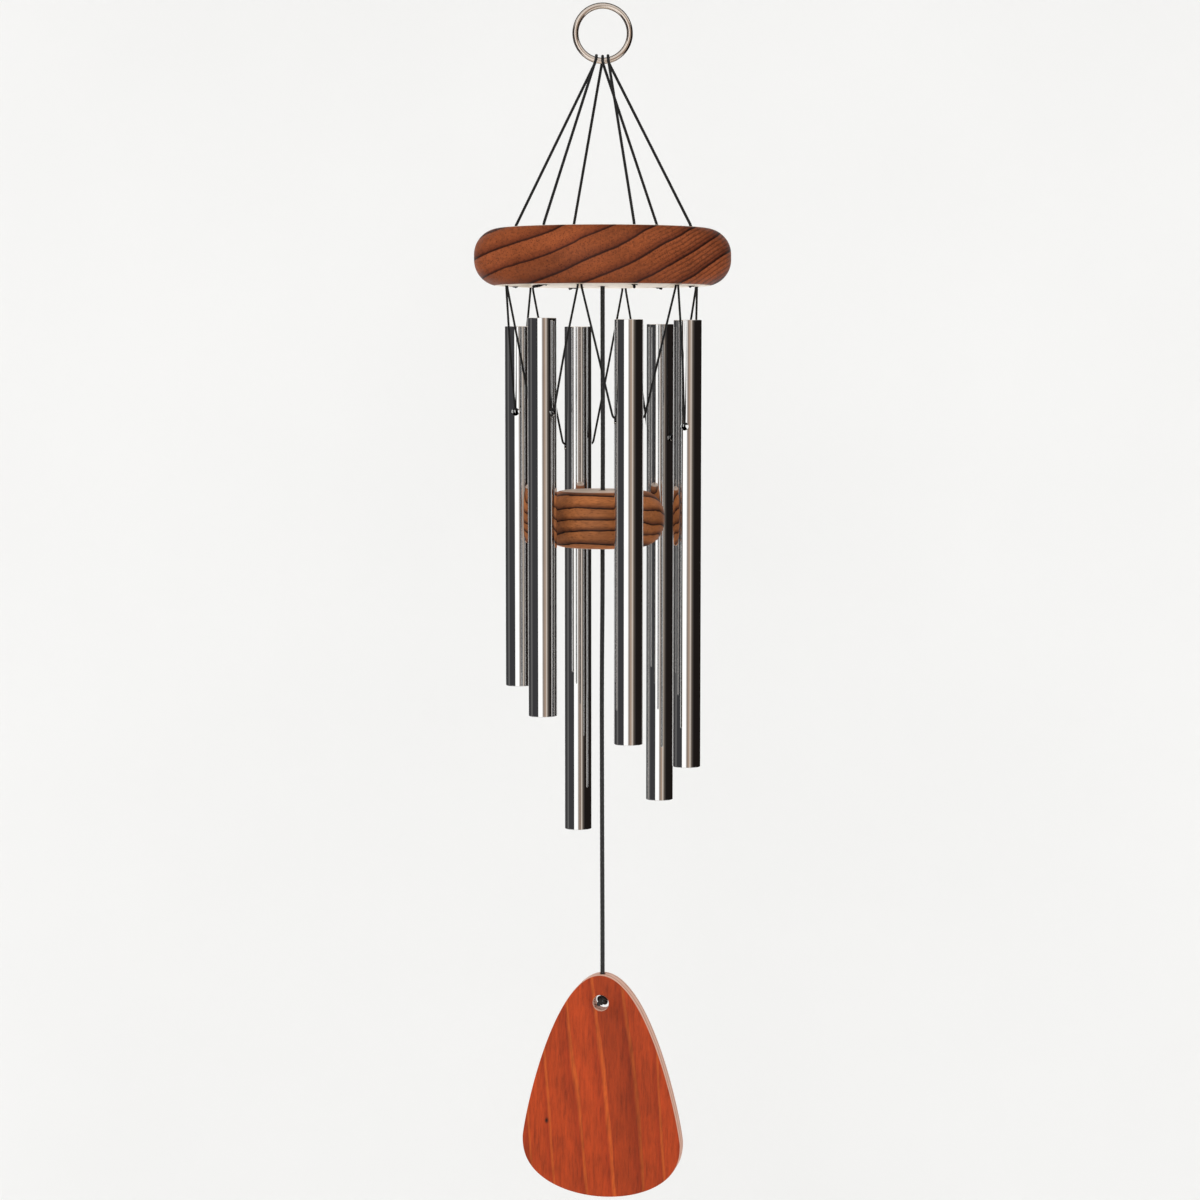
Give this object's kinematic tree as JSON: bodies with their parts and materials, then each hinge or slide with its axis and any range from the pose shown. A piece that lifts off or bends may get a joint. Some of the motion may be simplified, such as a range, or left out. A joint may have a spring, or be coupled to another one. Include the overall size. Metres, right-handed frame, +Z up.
{
  "type": "wind chime",
  "caption": "Wind chime: polished tubes on cords under a round wooden top disc, with a round wooden striker among them and an egg-shaped wooden sail below, hung from a ring.",
  "frame": {"origin": "inside top of the hanging ring, where a hook bears", "axes": "+Z up; the ring lies in the XZ plane and is seen face on along +Y; +X to the right"},
  "size_m": [0.129, 0.129, 0.6081],
  "materials": {
    "ring_nickel": "polished nickel plate",
    "thin_cord": "thin black twisted cord",
    "disc_wood": "oiled, fine lines of growth, pale underside",
    "tube_aluminium": "polished",
    "braided_cord": "dark grey braid",
    "striker_wood": "oiled, dark bands of growth",
    "sail_wood": "orange brown, fine straight grain"
  },
  "bodies": {
    "ring": {"hanging_ring": "ring_nickel"},
    "suspension": {"suspension_cord_left": "thin_cord", "suspension_cord_middle": "thin_cord", "suspension_cord_right": "thin_cord"},
    "disc": {"top_disc": "disc_wood", "suspension_knot_1": "thin_cord", "suspension_knot_2": "thin_cord", "suspension_knot_3": "thin_cord", "suspension_knot_4": "thin_cord", "suspension_knot_5": "thin_cord", "suspension_knot_6": "thin_cord", "string_knot_1": "thin_cord", "string_knot_2": "thin_cord", "string_knot_3": "thin_cord", "string_knot_4": "thin_cord", "string_knot_5": "thin_cord", "string_knot_6": "thin_cord"},
    "string_1": {"tube_string_1": "thin_cord"},
    "tube_1": {"tube_1": "tube_aluminium"},
    "string_2": {"tube_string_2": "thin_cord"},
    "tube_2": {"tube_2": "tube_aluminium"},
    "string_3": {"tube_string_3": "thin_cord"},
    "tube_3": {"tube_3": "tube_aluminium"},
    "string_4": {"tube_string_4": "thin_cord"},
    "tube_4": {"tube_4": "tube_aluminium"},
    "string_5": {"tube_string_5": "thin_cord"},
    "tube_5": {"tube_5": "tube_aluminium"},
    "string_6": {"tube_string_6": "thin_cord"},
    "tube_6": {"tube_6": "tube_aluminium"},
    "centre_knot": {"centre_top_knot": "braided_cord"},
    "striker": {"centre_cord": "braided_cord", "striker": "striker_wood"},
    "striker_knot": {"striker_knot": "braided_cord"},
    "sail_cord": {"sail_cord": "braided_cord"},
    "sail": {"sail": "sail_wood", "sail_knot": "braided_cord"}
  },
  "joints": [
    {"name": "chime_swing_front_back", "type": "hinge", "parent": "ring", "child": "suspension", "pos_m": [0, 0, -0.02555], "axis": [1, 0, 0], "range_deg": [-25, 25]},
    {"name": "chime_swing_side", "type": "hinge", "parent": "suspension", "child": "disc", "pos_m": [0, 0, -0.02555], "axis": [0, -1, 0], "range_deg": [-25, 25], "deforming": ["suspension_cord_left", "suspension_cord_middle", "suspension_cord_right"]},
    {"name": "tube_1_swing", "type": "hinge", "parent": "disc", "child": "string_1", "pos_m": [0.01275, -0.0417, -0.1372], "axis": [0.9563, 0.2924, 0], "range_deg": [-20, 2]},
    {"name": "tube_1_rock", "type": "hinge", "parent": "string_1", "child": "tube_1", "pos_m": [0.01275, -0.0417, -0.20217], "axis": [0.9563, 0.2924, 0], "range_deg": [-20, 4]},
    {"name": "tube_2_swing", "type": "hinge", "parent": "disc", "child": "string_2", "pos_m": [0.04248, -0.00981, -0.1372], "axis": [-0.225, -0.9744, 0], "range_deg": [-2, 20]},
    {"name": "tube_2_rock", "type": "hinge", "parent": "string_2", "child": "tube_2", "pos_m": [0.04248, -0.00981, -0.20592], "axis": [-0.225, -0.9744, 0], "range_deg": [-4, 20]},
    {"name": "tube_3_swing", "type": "hinge", "parent": "disc", "child": "string_3", "pos_m": [0.02974, 0.03189, -0.1372], "axis": [0.7314, -0.682, 0], "range_deg": [-2, 20]},
    {"name": "tube_3_rock", "type": "hinge", "parent": "string_3", "child": "tube_3", "pos_m": [0.02974, 0.03189, -0.2128], "axis": [0.7314, -0.682, 0], "range_deg": [-4, 20]},
    {"name": "tube_4_swing", "type": "hinge", "parent": "disc", "child": "string_4", "pos_m": [-0.01275, 0.0417, -0.1372], "axis": [0.9563, 0.2924, 0], "range_deg": [-2, 20]},
    {"name": "tube_4_rock", "type": "hinge", "parent": "string_4", "child": "tube_4", "pos_m": [-0.01275, 0.0417, -0.21776], "axis": [0.9563, 0.2924, 0], "range_deg": [-4, 20]},
    {"name": "tube_5_swing", "type": "hinge", "parent": "disc", "child": "string_5", "pos_m": [-0.04248, 0.00981, -0.1372], "axis": [-0.225, -0.9744, 0], "range_deg": [-20, 2]},
    {"name": "tube_5_rock", "type": "hinge", "parent": "string_5", "child": "tube_5", "pos_m": [-0.04248, 0.00981, -0.19906], "axis": [-0.225, -0.9744, 0], "range_deg": [-20, 4]},
    {"name": "tube_6_swing", "type": "hinge", "parent": "disc", "child": "string_6", "pos_m": [-0.02974, -0.03189, -0.1372], "axis": [0.7314, -0.682, 0], "range_deg": [-20, 2]},
    {"name": "tube_6_rock", "type": "hinge", "parent": "string_6", "child": "tube_6", "pos_m": [-0.02974, -0.03189, -0.19854], "axis": [0.7314, -0.682, 0], "range_deg": [-20, 4]},
    {"name": "striker_swing_front_back", "type": "hinge", "parent": "disc", "child": "centre_knot", "pos_m": [0, 0, -0.1142], "axis": [1, 0, 0], "range_deg": [-1.75, 1.75]},
    {"name": "striker_swing_side", "type": "hinge", "parent": "centre_knot", "child": "striker", "pos_m": [0, 0, -0.1142], "axis": [0, -1, 0], "range_deg": [-1.75, 1.75]},
    {"name": "sail_swing_front_back", "type": "hinge", "parent": "striker", "child": "striker_knot", "pos_m": [0, 0, -0.2653], "axis": [1, 0, 0], "range_deg": [-12, 12]},
    {"name": "sail_swing_side", "type": "hinge", "parent": "striker_knot", "child": "sail_cord", "pos_m": [0, 0, -0.2653], "axis": [0, -1, 0], "range_deg": [-12, 12]},
    {"name": "sail_twist", "type": "hinge", "parent": "sail_cord", "child": "sail", "pos_m": [0, 0, -0.503], "axis": [0, 0, 1], "continuous": true}
  ]
}
